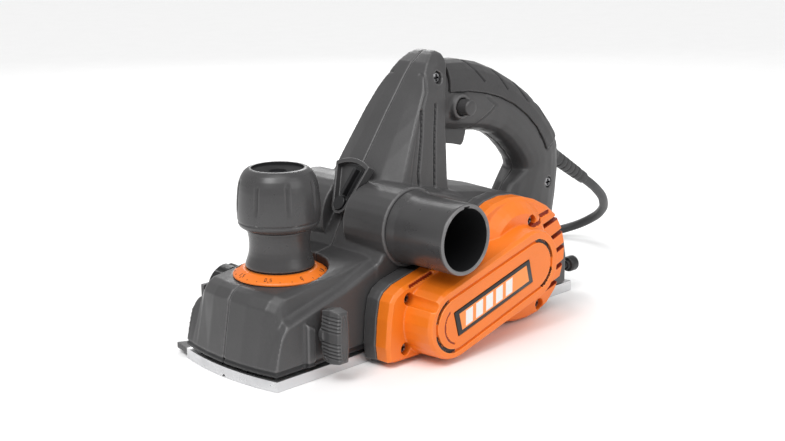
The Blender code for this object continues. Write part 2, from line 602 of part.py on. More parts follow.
cyl("drum_bearing_right", DRUM_AT, (0, 1, 0), 13.1, 41.6, 44.8, STEEL, 24, bore=6.3)

# ---------------------------------------------------------------- motor
cyl("motor_stator", MOTOR_AT, (0, -1, 0), 36.2, -15.0, 22.0, STEEL, 32, bore=21.5)
cyl("field_coil_left", MOTOR_AT, (0, -1, 0), 33.0, 22.4, 29.0, COPPER, 28, bore=23.0)
cyl("field_coil_right", MOTOR_AT, (0, 1, 0), 33.0, 15.4, 22.0, COPPER, 28, bore=23.0)
lathe("armature", [
    (4.0, -40.0), (4.0, -17.0), (16.0, -17.0), (16.0, -13.0), (20.8, -13.0), (20.8, 20.0), (16.0, 20.0),
    (16.0, 25.0), (4.0, 25.0), (4.0, 79.0)], MOTOR_AT, (0, -1, 0), STEEL, 32)
cyl("commutator", MOTOR_AT, (0, 1, 0), 11.0, 19.0, 32.0, COPPER, 24, bore=4.3)
cyl("motor_bearing_left", MOTOR_AT, (0, -1, 0), 11.1, 37.6, 44.0, STEEL, 24, bore=4.3)
cyl("motor_bearing_right", MOTOR_AT, (0, 1, 0), 9.5, 34.5, 41.5, STEEL, 24, bore=4.3)
for k, s in enumerate((-1, 1)):
    cyl(f"brush_holder_{k + 1}", (MOTOR[0], 27.0, MOTOR[1]), (s, 0, 0), 4.3, 11.4, 31.0, COPPER, 20)
fan_pts = []
for k in range(12):
    for r, a in ((14.0, 0.0), (32.0, 5.0), (32.5, 13.0), (14.0, 18.0)):
        t = math.radians(30.0 * k + a)
        fan_pts.append((MOTOR[0] + r * math.cos(t), MOTOR[1] + r * math.sin(t)))
fan = prism("motor_fan", fan_pts, -30.0, -36.4, DARK)
boolean(fan, cyl("cut_fan", MOTOR_AT, (0, -1, 0), 4.3, 28.0, 40.0))
for name in ("armature", "motor_fan", "commutator", "motor_pulley"):
    set_origin(bpy.data.objects[name], MOTOR_AT)
for name in ("drum_pulley", "cutter_blade_1", "cutter_blade_2", "blade_clamp_1", "blade_clamp_2"):
    set_origin(bpy.data.objects[name], DRUM_AT)

# ---------------------------------------------------------------- depth knob
KNOB_AT = (KNOB_X, 0, 0)
Z = (0, 0, 1)
lathe("depth_scale_ring", [(21.2, 57.4), (30.3, 57.4), (30.3, 58.4), (23.6, 62.4), (21.2, 62.4)],
      KNOB_AT, Z, ORANGE, 40, ring=True)
lathe("depth_knob_neck", [
    (5.3, 45.0), (19.6, 45.0), (19.8, 56.8), (20.6, 57.2), (20.7, 63.0), (22.3, 63.6), (21.6, 66.5),
    (20.0, 71.0), (19.3, 76.0), (19.5, 81.0), (20.6, 87.4), (16.0, 88.0), (16.0, 104.0), (5.3, 104.0)],
    KNOB_AT, Z, CHARCOAL, 40, ring=True)
cap = lathe("depth_knob_cap", [
    (16.4, 88.4), (22.6, 88.4), (25.2, 90.2), (26.3, 93.0), (26.5, 103.0), (25.9, 113.0), (24.4, 120.0),
    (21.8, 124.6), (18.4, 126.8), (17.0, 127.0), (16.2, 125.6), (1e-3, 125.3), (1e-3, 112.4),
    (16.4, 112.4)], KNOB_AT, Z, CHARCOAL, 40, ring=True)
for k in range(8):
    a = math.radians(45.0 * k + 18.0)
    c, q = math.cos(a), math.sin(a)
    ring_pts = []
    for z, r in ((100.0, 25.9), (112.0, 25.0), (122.0, 24.2)):
        ring_pts.append([(KNOB_X + c * rr - q * t, q * rr + c * t, z)
                         for rr, t in ((r, -0.7), (r + 4, -0.9), (r + 4, 0.9), (r, 0.7))])
    boolean(cap, loft(f"cut_notch{k}", ring_pts))
lathe("depth_spindle", [(4.0, 12.5), (4.0, 40.0), (5.0, 41.0), (5.0, 111.8)], KNOB_AT, Z, STEEL, 28)
for name in ("depth_knob_neck", "depth_knob_cap", "depth_spindle"):
    set_origin(bpy.data.objects[name], KNOB_AT)
# compression spring round the sole's post
coil = []
TURNS, STEPS, WIRE, COIL_R = 5, 14, 1.1, 12.8
for i in range(TURNS * STEPS + 1):
    a = 2 * math.pi * i / STEPS
    z = 8.2 + (43.0 - 8.2) * i / (TURNS * STEPS)
    radial = Vector((math.cos(a), math.sin(a), 0))
    centre = Vector((KNOB_X, 0, z)) + radial * COIL_R
    coil.append([centre + radial * WIRE * math.cos(b) + Vector((0, 0, WIRE * math.sin(b)))
                 for b in (2 * math.pi * j / 5 for j in range(5))])
loft("depth_spring", coil, STEEL, smooth=True)

# ---------------------------------------------------------------- chip outlet and selector
OUTLET_AT = (OUTLET[0], 0, OUTLET[1])
tube = lathe("chip_outlet", [
    (19.9, 38.0), (19.9, 47.8), (24.6, 47.8), (24.0, 50.0), (23.2, 55.0), (OUTLET_R, 94.4),
    (22.5, 95.0), (20.4, 95.0), (OUTLET_BORE, 94.4), (19.6, 56.0), (17.4, 50.0), (17.4, 38.0)],
    OUTLET_AT, (0, -1, 0), CHARCOAL, 40, ring=True)
boolean(tube, box("cut_bayonet", (OUTLET[0] - 2.5, -97.0, OUTLET[1] + 17.0),
                  (OUTLET[0] + 2.5, -88.0, OUTLET[1] + 21.6)))
lathe("chip_blank", [(19.0, 40.0), (19.0, 44.8), (22.0, 44.8), (22.0, 47.2), (20.0, 48.4), (1e-3, 48.4),
                     (1e-3, 46.4), (17.0, 46.4), (17.0, 40.0)], OUTLET_AT, (0, 1, 0), CHARCOAL, 32,
      ring=True)
frame = sector("selector_frame", 7.3, 31.4, 30.0, -3.1, 3.0, CHARCOAL)
boolean(frame, sector("cut_selector", 5.2, 28.4, 28.0, -1.4, 8.0))
boolean(frame, cyl("cut_selector_hole", SEL_P, SEL_N, 3.6, -8.0, 8.0, seg=24))
UP = SEL_N.cross(Vector((0, 1, 0)))
UP = (UP if UP.z > 0 else -UP).normalized()
SIDE = Vector((0, 1, 0))
LEAN = math.radians(-15.0)
lever_u = UP * math.cos(LEAN) + SIDE * math.sin(LEAN)
lever_v = SIDE * math.cos(LEAN) - UP * math.sin(LEAN)


def on_slope(u, v, n):
    return SEL_P + lever_u * u + lever_v * v + SEL_N * n


lever = cyl("selector_lever", SEL_P, SEL_N, 4.8, -1.0, 4.0, CHARCOAL, 28)
boolean(lever, cyl("add_lever_shaft", SEL_P, SEL_N, 3.2, -4.4, 0.0, seg=24), "UNION")
boolean(lever, loft("add_lever_arm", [
    [on_slope(u, v, n) for u, v in ((0.0, -3.2), (20.0, -4.4), (26.0, -4.0), (26.0, 4.0), (20.0, 4.4),
                                    (0.0, 3.2))] for n in (-1.0, 1.4)]), "UNION")
boolean(lever, loft("add_lever_grip", [
    [on_slope(u, v, n) for u, v in ((6.0, -1.4), (25.0, -1.4), (25.0, 1.4), (6.0, 1.4))]
    for n in (0.0, 6.0)]), "UNION")
flap = cyl("chip_deflector", SEL_P, SEL_N, 3.4, -29.0, -4.8, DARK, 24)
boolean(flap, loft("add_flap", [
    [on_slope(u, v, n) for u, v in ((-14.0, -1.0), (14.0, -1.0), (14.0, 1.0), (-14.0, 1.0))]
    for n in (-28.0, -11.0)]), "UNION")
for obj in (lever, flap):
    set_origin(obj, SEL_P)

# ---------------------------------------------------------------- switch group
box("switch_body", (-24.0, -9.0, 146.5), (24.0, 9.0, 161.0), DARK)
trigger = prism("trigger", [
    (-26.9, 140.0), (-26.9, 123.0), (-20.0, 121.6), (-9.0, 119.6), (-2.0, 117.6), (0.4, 120.0),
    (2.6, 126.5), (3.8, 140.0)], -5.8, 5.8, CHARCOAL)
bevel(trigger, 0.8)
set_origin(trigger, (-12.0, 0, 130.0))
button = lathe("lock_off_button", [(5.6, 13.0), (5.6, 26.6), (5.0, 27.4), (3.0, 27.7)],
               (-16.0, 0, 148.5), (0, -1, 0), CHARCOAL, 36)
set_origin(button, (-16.0, 0, 148.5))

# ---------------------------------------------------------------- fence knob, rebate stop, rear knob
FENCE_AT = (FENCE[0], 0, FENCE[1])
stud = lathe("fence_knob", [(3.0, 36.0), (3.0, 47.2), (6.5, 47.2), (6.5, 51.0)], FENCE_AT, (0, -1, 0),
             CHARCOAL, 24)
boolean(stud, loft("add_wing", [
    [(FENCE[0] + x, y, FENCE[1] + z) for x, z in (
        (-t, -h), (t, -h), (t * 1.25, -h * 0.4), (t * 1.25, h * 0.4), (t, h), (-t, h),
        (-t * 1.25, h * 0.4), (-t * 1.25, -h * 0.4))]
    for y, t, h in ((-48.5, 4.2, 16.0), (-56.0, 4.6, 17.5), (-63.0, 3.8, 16.4), (-64.2, 2.4, 14.6))]),
    "UNION")
set_origin(stud, FENCE_AT)

stop = box("rebate_stop", (-196.0, 45.4, 2.0), (-150.0, 48.4, 46.0), CHARCOAL)
boolean(stop, loft("add_stop_foot", [
    [(-208.0, 61.0, z), (-211.0, 46.0, z), (-196.0, 45.4, z), (-170.0, 45.4, z), (-172.0, 52.0, z),
     (-200.0, 57.0, z)] for z in (2.0, 6.0)]), "UNION")
boolean(stop, box("cut_stop_slot", (-169.6, 40.0, 16.0), (-162.4, 60.0, 40.0)))
set_origin(stop, (-166.0, 47.0, 6.0))
knob = lathe("rebate_knob", [(3.0, 34.0), (3.0, 48.8), (9.0, 48.8), (15.0, 50.5), (15.4, 60.0), (13.5, 62.5)],
             (REBATE[0], 0, REBATE[1]), (0, 1, 0), DARK, 30)
for k in range(9):
    a = math.radians(40.0 * k)
    boolean(knob, cyl(f"cut_rebate{k}", (REBATE[0] + 17.0 * math.cos(a), 0, REBATE[1] + 17.0 * math.sin(a)),
                      (0, 1, 0), 2.8, 48.0, 66.0, seg=8))
set_origin(knob, (REBATE[0], 0, REBATE[1]))

rear_knob = lathe("rear_knob", [
    (2.0, 66.0), (2.0, 77.8), (3.4, 77.8), (3.4, 79.4), (5.2, 80.2), (5.8, 82.0), (5.8, 87.4), (4.6, 88.8)],
    (0, REAR_KNOB_Y, REAR_KNOB_Z), (1, 0, 0), DARK, 28)
set_origin(rear_knob, (72.0, REAR_KNOB_Y, REAR_KNOB_Z))

# ---------------------------------------------------------------- mains cord
CORD_R = 3.75
lathe("cord_gland", [
    (4.1, -6.5), (7.8, -6.5), (7.8, -1.4), (6.4, -1.4), (6.4, 10.0), (5.8, 13.0), (5.4, 36.0), (4.9, 60.0),
    (4.1, 60.0)], CORD_AT, CORD_DIR, RUBBER, 24, ring=True)


def smooth_path(points, step):
    """Catmull-Rom curve through the points, read at about one point per step."""
    pts = [Vector(q) for q in points]
    pts = [pts[0] * 2 - pts[1]] + pts + [pts[-1] * 2 - pts[-2]]
    out = []
    for a, b, c, d in zip(pts, pts[1:], pts[2:], pts[3:]):
        n = max(1, round((c - b).length / step))
        for k in range(n):
            t = k / n
            out.append(0.5 * (2 * b + (c - a) * t + (2 * a - 5 * b + 4 * c - d) * t * t
                              + (3 * b - a - 3 * c + d) * t ** 3))
    return out + [pts[-2]]


def cord_tube(name, points):
    data = bpy.data.curves.new(name, "CURVE")
    data.dimensions = "3D"
    data.bevel_depth = CORD_R * MM
    data.bevel_resolution = 2
    data.use_fill_caps = True
    spline = data.splines.new("POLY")
    spline.points.add(len(points) - 1)
    for node, q in zip(spline.points, points):
        node.co = (*(q * MM), 1.0)
    data.materials.append(material(name, *RUBBER))
    obj = bpy.data.objects.new(name, data)
    bpy.context.scene.collection.objects.link(obj)
    return obj


COIL_AT = (30.0, 118.0)
COIL_TURN_R = (32.5, 40.0, 47.5)
LAY = 0.35
JOIN = math.sqrt((COIL_TURN_R[2] + 2 * CORD_R + 0.8) ** 2 - COIL_TURN_R[2] ** 2)
LANE = COIL_AT[1] - COIL_TURN_R[2]
FLOOR = CORD_R + LAY
ROUTE = [
    CORD_AT - CORD_DIR * 11, CORD_AT + CORD_DIR * 20, CORD_AT + CORD_DIR * 62,
    (172.0, 1.0, 55.3), (190.0, 7.0, 42.0), (204.0, 19.0, 28.5), (209.0, 35.0, 17.0),
    (203.0, 51.0, 8.5), (188.0, 63.0, 4.8), (165.0, LANE - 1.0, FLOOR), (130.0, LANE, FLOOR),
    (95.0, LANE, FLOOR), (COIL_AT[0] + JOIN, LANE, FLOOR),
]
cord_tube("power_cord", smooth_path(ROUTE, 14.0))
TAIL_Z, PLUG_X, PLUG_Z = FLOOR + 2 * CORD_R, -24.0, 7.6
cord_tube("cord_tail", smooth_path([(COIL_AT[0] - JOIN, LANE, TAIL_Z - 0.4), (-10.0, LANE, 9.6),
                                    (PLUG_X + 0.9, LANE, PLUG_Z + 0.1)], 12.0))
coil_in, coil_out = COIL_TURN_R[0] - CORD_R - 0.3, COIL_TURN_R[2] + CORD_R + 0.3
cyl("cord_coil", (*COIL_AT, 0), Z, coil_out, LAY, LAY + 4 * CORD_R + 0.3, RUBBER, 40, bore=coil_in)
plug = loft("power_plug", [
    [(PLUG_X - 0.3 - d, LANE + w * math.cos(a), PLUG_Z + h * math.sin(a))
     for a in (2 * math.pi * k / 16 for k in range(16))]
    for d, w, h in ((0.0, 4.8, 4.8), (16.0, 6.0, 5.6), (21.0, 12.0, 6.8), (30.0, 13.8, 7.2),
                    (46.0, 13.8, 7.2), (49.0, 13.0, 6.6))], RUBBER, smooth=True)
for y in (-9.5, 9.5):
    boolean(plug, cyl(f"add_pin{y}", (PLUG_X - 40.0, LANE + y, PLUG_Z), (-1, 0, 0), 2.2, 0.0, 28.0, seg=12),
            "UNION")
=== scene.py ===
"""Looks of the portable planer: camera and light, mains cord, moulded shells, controls and soles.

The frame is the CAD model's own: the front of the tool along -X, its belt side along -Y, +Z up.
Shapes are worked out in millimetres and written in metres.
"""

import json
import math

import bmesh
import bpy
import numpy as np
from mathutils import Matrix, Vector


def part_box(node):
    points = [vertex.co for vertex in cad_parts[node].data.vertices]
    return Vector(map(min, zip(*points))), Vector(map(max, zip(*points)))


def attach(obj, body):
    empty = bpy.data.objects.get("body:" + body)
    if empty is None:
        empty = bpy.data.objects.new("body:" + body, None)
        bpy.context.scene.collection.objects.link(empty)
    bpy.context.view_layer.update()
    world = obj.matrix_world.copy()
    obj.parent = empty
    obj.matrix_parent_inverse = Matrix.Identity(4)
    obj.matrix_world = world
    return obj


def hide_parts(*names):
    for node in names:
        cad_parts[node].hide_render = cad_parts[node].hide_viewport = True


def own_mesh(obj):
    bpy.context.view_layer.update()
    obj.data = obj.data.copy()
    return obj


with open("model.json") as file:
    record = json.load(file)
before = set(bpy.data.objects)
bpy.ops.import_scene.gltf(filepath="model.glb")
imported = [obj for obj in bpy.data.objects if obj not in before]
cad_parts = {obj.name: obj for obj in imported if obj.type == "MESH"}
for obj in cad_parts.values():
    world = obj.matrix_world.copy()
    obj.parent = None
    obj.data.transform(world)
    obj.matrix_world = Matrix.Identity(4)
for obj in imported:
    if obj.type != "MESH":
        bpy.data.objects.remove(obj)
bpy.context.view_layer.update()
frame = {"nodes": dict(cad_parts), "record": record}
NODES = frame["nodes"]
MM = 0.001
ROOT = "planer_body"


def node_box(node):
    """Lowest and highest corner of a CAD node, in millimetres."""
    low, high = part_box(node)
    return np.array(low) / MM, np.array(high) / MM


# ---------------------------------------------------------------- camera
CAMERA_AT = Vector((-698.7, -626.8, 300.2)) * MM
CAMERA_TURN, CAMERA_TILT, CAMERA_ROLL = -45.252, -14.304, 0.313
camera_data = bpy.data.cameras.new("camera")
camera_data.lens = 61.03
camera_data.sensor_width = 36.0
camera_data.clip_start = 0.01
camera = bpy.data.objects.new("camera", camera_data)
bpy.context.scene.collection.objects.link(camera)
camera.matrix_world = (
    Matrix.Translation(CAMERA_AT)
    @ Matrix.Rotation(math.radians(CAMERA_TURN), 4, "Z")
    @ Matrix.Rotation(math.radians(90.0 + CAMERA_TILT), 4, "X")
    @ Matrix.Rotation(math.radians(-CAMERA_ROLL), 4, "Z")
)
bpy.context.scene.camera = camera


# ---------------------------------------------------------------- materials
def wire(tree, source, target):
    tree.links.new(source, target)


def add_node(tree, kind, **values):
    """A shader node with its input values, or links, set by socket name."""
    node = tree.nodes.new(kind)
    for key, value in values.items():
        socket = node.inputs[key.replace("_", " ")]
        if isinstance(value, bpy.types.NodeSocket):
            wire(tree, value, socket)
        else:
            socket.default_value = value
    return node


def noise(tree, coords, scale, detail=3.0, stretch=None, rough=0.5):
    """Noise texture over the coordinates, stretched along an axis where asked."""
    if stretch is not None:
        mapping = add_node(tree, "ShaderNodeMapping", Vector=coords)
        mapping.inputs["Scale"].default_value = stretch
        coords = mapping.outputs["Vector"]
    return add_node(tree, "ShaderNodeTexNoise", Vector=coords, Scale=scale, Detail=detail,
                    Roughness=rough).outputs["Fac"]


def ramp(tree, fac, low, high, out_low, out_high):
    """A value from low..high mapped to out_low..out_high."""
    node = add_node(tree, "ShaderNodeMapRange", Value=fac)
    for socket, value in zip(("From Min", "From Max", "To Min", "To Max"), (low, high, out_low, out_high)):
        node.inputs[socket].default_value = value
    return node.outputs["Result"]


def blend_rgb(tree, fac, a, b):
    """Colour a turning into colour b; each may be a colour or a socket."""
    node = tree.nodes.new("ShaderNodeMix")
    node.data_type = "RGBA"
    if isinstance(fac, bpy.types.NodeSocket):
        wire(tree, fac, node.inputs[0])
    else:
        node.inputs[0].default_value = fac
    for socket, value in ((node.inputs[6], a), (node.inputs[7], b)):
        if isinstance(value, bpy.types.NodeSocket):
            wire(tree, value, socket)
        else:
            socket.default_value = (*value, 1.0)
    return node.outputs[2]


def tint(rgb, k):
    return tuple(min(1.0, c * k) for c in rgb)


def surface(name, rgb, rough, vary=0.10, grain=2600.0, grain_depth=0.02, edge=0.0, edge_rgb=None,
            metallic=0.0, stretch=None, swing=0.07, coat=0.0, sheen=0.0, cells=None, specular=0.5):
    """A solid surface: broad colour drift, edges lightened for wear and as painted highlight, creases
    darkened as painted shade, fine grain and uneven gloss.
    """
    mat = bpy.data.materials.new(name)
    mat.use_nodes = True
    tree = mat.node_tree
    bsdf = tree.nodes["Principled BSDF"]
    coords = tree.nodes.new("ShaderNodeTexCoord").outputs["Object"]
    drift = noise(tree, coords, 22.0, 4.0, stretch=stretch)
    colour = blend_rgb(tree, ramp(tree, drift, 0.3, 0.7, 0.0, 1.0), tint(rgb, 1 - vary), tint(rgb, 1 + vary))
    speck = noise(tree, coords, 900.0, 2.0, stretch=stretch)
    colour = blend_rgb(tree, ramp(tree, speck, 0.35, 0.7, 0.0, 0.35), colour, tint(rgb, 1 - 2.2 * vary))
    if edge:
        geometry = tree.nodes.new("ShaderNodeNewGeometry")
        # Wear and painted highlight: convex edges lightened towards edge_rgb.
        wear_and_highlight = ramp(tree, geometry.outputs["Pointiness"], 0.515, 0.575, 0.0, edge)
        colour = blend_rgb(tree, wear_and_highlight, colour, edge_rgb or tint(rgb, 2.2))
        # Painted shade: creases and hollows darkened.
        deep = ramp(tree, geometry.outputs["Pointiness"], 0.48, 0.42, 0.0, 0.6)
        colour = blend_rgb(tree, deep, colour, tint(rgb, 0.45))
    wire(tree, colour, bsdf.inputs["Base Color"])
    gloss = noise(tree, coords, 60.0, 5.0, stretch=stretch)
    wire(tree, ramp(tree, gloss, 0.3, 0.7, rough - swing, rough + swing), bsdf.inputs["Roughness"])
    if cells:
        texture = add_node(tree, "ShaderNodeTexVoronoi", Vector=coords, Scale=cells)
        height = texture.outputs["Distance"]
    else:
        height = noise(tree, coords, grain, 2.0, stretch=stretch)
    bump = add_node(tree, "ShaderNodeBump", Strength=0.35, Distance=grain_depth * MM, Height=height)
    wire(tree, bump.outputs["Normal"], bsdf.inputs["Normal"])
    bsdf.inputs["Metallic"].default_value = metallic
    bsdf.inputs["Coat Weight"].default_value = coat
    bsdf.inputs["Coat Roughness"].default_value = 0.25
    bsdf.inputs["Sheen Weight"].default_value = sheen
    bsdf.inputs["Specular IOR Level"].default_value = specular
    return mat


CHARCOAL_RGB = (0.054, 0.053, 0.054)
BLACK_RGB = (0.010, 0.010, 0.011)
ORANGE_RGB = (0.86, 0.190, 0.010)
CHARCOAL = surface("charcoal_plastic", CHARCOAL_RGB, 0.42, edge=0.75, edge_rgb=(0.20, 0.196, 0.198),
                   grain=1900.0, grain_depth=0.10)
CHARCOAL_SMOOTH = surface("charcoal_smooth", (0.050, 0.049, 0.050), 0.30, edge=0.5,
                          edge_rgb=(0.20, 0.195, 0.195), grain=2600.0, grain_depth=0.03)
# Painted highlight: a lighter copy of the charcoal for the lit rim of the chip outlet's mouth.
CHARCOAL_HIGHLIGHT = surface("charcoal_painted_highlight", (0.155, 0.152, 0.154), 0.38, edge=0.3, grain=1900.0,
                        grain_depth=0.06)
# Black plastic parts and print, and painted shade on groove and slot floors.
BLACK = surface("black_plastic_and_painted_shade", BLACK_RGB, 0.4, edge=0.3, grain=2200.0, grain_depth=0.05)
# Matte black for the knob cap's dish, and painted shade on the wall inside the chip outlet.
BLACK_MATTE = surface("black_matte_and_painted_shade", BLACK_RGB, 0.8, grain=2200.0, grain_depth=0.05, specular=0.12)
ORANGE = surface("orange_plastic", ORANGE_RGB, 0.36, vary=0.05, edge=0.6, edge_rgb=(1.0, 0.36, 0.09),
                 grain=2300.0, grain_depth=0.05, coat=0.08)
# Painted shade: a darkened copy of the orange for grooves and slot walls on the belt cover.
ORANGE_SHADE = surface("orange_painted_shade", (0.30, 0.028, 0.003), 0.45, vary=0.12, grain=2300.0, grain_depth=0.05)
WHITE = surface("white_print", (0.82, 0.82, 0.80), 0.45, vary=0.04, grain=2300.0, grain_depth=0.02)
SOLE = surface("planed_aluminium", (0.58, 0.58, 0.59), 0.30, vary=0.05, metallic=0.85, edge=0.3,
               edge_rgb=(0.82, 0.82, 0.83), grain=900.0, grain_depth=0.08, stretch=(0.12, 4.0, 4.0))
STEEL = surface("turned_steel", (0.50, 0.50, 0.51), 0.28, metallic=1.0, edge=0.3, edge_rgb=(0.8, 0.8, 0.8),
                grain=1400.0, grain_depth=0.03)
DARK_STEEL = surface("blackened_steel", (0.11, 0.11, 0.115), 0.30, metallic=0.9, edge=0.7,
                     edge_rgb=(0.55, 0.55, 0.56), grain=1400.0, grain_depth=0.03)
COPPER = surface("wound_copper", (0.66, 0.25, 0.09), 0.36, metallic=1.0, edge=0.2, grain=700.0,
                 grain_depth=0.20, stretch=(1.0, 6.0, 1.0))
GRIP_RUBBER = surface("grip_rubber", (0.038, 0.037, 0.038), 0.50, vary=0.08, edge=0.35,
                      edge_rgb=(0.12, 0.12, 0.12), cells=620.0, grain_depth=0.22, sheen=0.06)
CORD_RUBBER = surface("cord_rubber", (0.026, 0.026, 0.027), 0.46, vary=0.12, grain=1200.0,
                      grain_depth=0.10, sheen=0.05)
BRASS = surface("pin_brass", (0.72, 0.55, 0.25), 0.27, metallic=1.0, edge=0.3, edge_rgb=(0.9, 0.75, 0.4))

SLOT_LOOK = {
    "sole": SOLE, "charcoal": CHARCOAL, "black": BLACK, "orange": ORANGE, "rubber": CORD_RUBBER,
    "steel": STEEL, "copper": COPPER,
}
SLOT_OF = {row["node"]: row["material_slot"] for row in frame["record"]["subparts"]}
BODY_OF = {node: body for body, nodes in frame["record"]["behaviour"]["bodies"].items() for node in nodes}


# ---------------------------------------------------------------- mesh tools
def put(name, verts, faces, look, smooth=True):
    """A new piece from millimetre points."""
    mesh = bpy.data.meshes.new(name)
    mesh.from_pydata([Vector(v) * MM for v in verts], [], faces)
    bm = bmesh.new()
    bm.from_mesh(mesh)
    bmesh.ops.remove_doubles(bm, verts=bm.verts, dist=1e-7)
    bmesh.ops.recalc_face_normals(bm, faces=bm.faces)
    bm.to_mesh(mesh)
    bm.free()
    obj = bpy.data.objects.new(name, mesh)
    bpy.context.scene.collection.objects.link(obj)
    mesh.materials.append(look)
    for poly in mesh.polygons:
        poly.use_smooth = smooth
    return obj


def loft(name, rings, look=CHARCOAL, closed=False, smooth=True):
    """Skin over rings of points, capped at both ends or closed end to end."""
    n = len(rings[0])
    verts = [p for ring in rings for p in ring]
    faces = []
    for i in range(len(rings) if closed else len(rings) - 1):
        a, b = i * n, ((i + 1) % len(rings)) * n
        faces += [(a + j, a + (j + 1) % n, b + (j + 1) % n, b + j) for j in range(n)]
    if not closed:
        faces += [tuple(range(n)), tuple(range(len(verts) - n, len(verts)))]
    return put(name, verts, faces, look, smooth)


def prism(name, outline, y0, y1, look=CHARCOAL):
    """A polygon in XZ pushed along Y, with sharp faces."""
    return loft(name, [[(x, y, z) for x, z in outline] for y in (y0, y1)], look, smooth=False)


def basis(axis):
    """The axis as a unit vector, and two unit vectors square to it."""
    axis = Vector(axis).normalized()
    side = Vector((0, 0, 1)) if abs(axis.z) < 0.9 else Vector((1, 0, 0))
    u = axis.cross(side).normalized()
    return axis, u, axis.cross(u)


def turned(name, profile, at, axis, look, seg=96, ring=False, shape=None):
    """Turn (radius, height) pairs about an axis; shape(r, t, angle) may reshape the radius."""
    axis, u, v = basis(axis)
    at = Vector(at)
    rings = []
    for r, t in profile:
        row = []
        for k in range(seg):
            a = 2 * math.pi * k / seg
            radius = max(shape(r, t, a) if shape else r, 1e-5)
            row.append(at + axis * t + (u * math.cos(a) + v * math.sin(a)) * radius)
        rings.append(row)
    return loft(name, rings, look, closed=ring)


def curve_through(points, step):
    """Points about `step` apart on the Catmull-Rom curve through `points`."""
    pts = [Vector(p) for p in points]
    pts = [pts[0] * 2 - pts[1]] + pts + [pts[-1] * 2 - pts[-2]]
    out = []
    for a, b, c, d in zip(pts, pts[1:], pts[2:], pts[3:]):
        n = max(1, round((c - b).length / step))
        for k in range(n):
            t = k / n
            out.append(0.5 * (2 * b + (c - a) * t + (2 * a - 5 * b + 4 * c - d) * t * t
                              + (3 * b - a - 3 * c + d) * t ** 3))
    return out + [pts[-2]]


def rounded(profile, radius, n=4):
    """The (r, t) profile with its inner corners rounded."""
    out = [profile[0]]
    for a, b, c in zip(profile, profile[1:], profile[2:]):
        a, b, c = (np.array(p, float) for p in (a, b, c))
        la, lc = np.linalg.norm(a - b), np.linalg.norm(c - b)
        r = min(radius, la * 0.45, lc * 0.45)
        if r < 1e-3:
            out.append(tuple(b))
            continue
        p, q = b + (a - b) / la * r, b + (c - b) / lc * r
        for k in range(n + 1):
            t = k / n
            out.append(tuple((1 - t) ** 2 * p + 2 * t * (1 - t) * b + t * t * q))
    return out + [profile[-1]]


def bake(obj):
    """Apply the piece's modifiers."""
    graph = bpy.context.evaluated_depsgraph_get()
    mesh = bpy.data.meshes.new_from_object(obj.evaluated_get(graph))
    obj.modifiers.clear()
    old = obj.data
    obj.data = mesh
    bpy.data.meshes.remove(old)
    return obj


def cut(obj, tools, kind="DIFFERENCE"):
    """Exact Boolean of the piece with each tool; the tools are used up."""
    for tool in tools:
        mod = obj.modifiers.new("cut", "BOOLEAN")
        mod.operation, mod.solver, mod.object = kind, "EXACT", tool
    bake(obj)
    for tool in tools:
        bpy.data.objects.remove(tool, do_unlink=True)
    return obj


def copy_node(name, node):
    """A piece that starts as the CAD node's own mesh."""
    mesh = NODES[node].data.copy()
    mesh.materials.clear()
    obj = bpy.data.objects.new(name, mesh)
    bpy.context.scene.collection.objects.link(obj)
    return obj


def even_mesh(obj, voxel):
    """Rebuild the piece as an even mesh of that voxel size in millimetres."""
    mod = obj.modifiers.new("remesh", "REMESH")
    mod.mode, mod.voxel_size, mod.adaptivity = "VOXEL", voxel * MM, 0.0
    return bake(obj)


def read_points(obj):
    """The mesh's points, one row each, in metres."""
    co = np.empty(len(obj.data.vertices) * 3)
    obj.data.vertices.foreach_get("co", co)
    return co.reshape(-1, 3)


def write_points(obj, co):
    obj.data.vertices.foreach_set("co", co.ravel())
    obj.data.update()


# one round of smoothing pulls each point in, then pushes it back out a little further
PULL, PUSH = 0.55, -0.57


def relax(obj, rounds, weight=None):
    """Smooth the mesh without shrinking it."""
    co = read_points(obj)
    edges = np.empty(len(obj.data.edges) * 2, int)
    obj.data.edges.foreach_get("vertices", edges)
    a, b = edges.reshape(-1, 2).T
    n = len(co)
    degree = np.maximum(np.bincount(a, minlength=n) + np.bincount(b, minlength=n), 1)
    keep = np.ones(n) if weight is None else weight(co / MM)
    for _ in range(rounds):
        for step in (PULL, PUSH):
            mean = np.stack([
                (np.bincount(a, co[b, i], n) + np.bincount(b, co[a, i], n)) / degree for i in range(3)
            ], 1)
            co = co + (mean - co) * (step * keep)[:, None]
    write_points(obj, co)
    return obj


def normals(obj):
    """The mesh's vertex normals, one row each."""
    out = np.empty(len(obj.data.vertices) * 3, np.float32)
    obj.data.vertex_normals.foreach_get("vector", out)
    return out.reshape(-1, 3).astype(float)


def press(obj, depth):
    """Push the surface in by depth(points, normals) millimetres."""
    co, no = read_points(obj), normals(obj)
    write_points(obj, co - no * (depth(co / MM, no) * MM)[:, None])
    return obj


def line_distance(points, line):
    """Distance of each 2-D point from a polyline."""
    best = np.full(len(points), 1e9)
    for a, b in zip(line, line[1:]):
        a, b = np.array(a, float), np.array(b, float)
        t = np.clip(((points - a) @ (b - a)) / max((b - a) @ (b - a), 1e-9), 0, 1)
        best = np.minimum(best, np.linalg.norm(points - a - t[:, None] * (b - a), axis=1))
    return best


def nearest(points, lines):
    """Distance of each point, seen along Y, from the nearest of the lines."""
    return np.min([line_distance(points[:, [0, 2]], line) for line in lines], axis=0)


def groove(distance, half, depth):
    """Round-bottomed groove: full depth on the line, none past `half` from it."""
    t = np.clip(1 - distance / half, 0, 1)
    return depth * t * t * (3 - 2 * t)


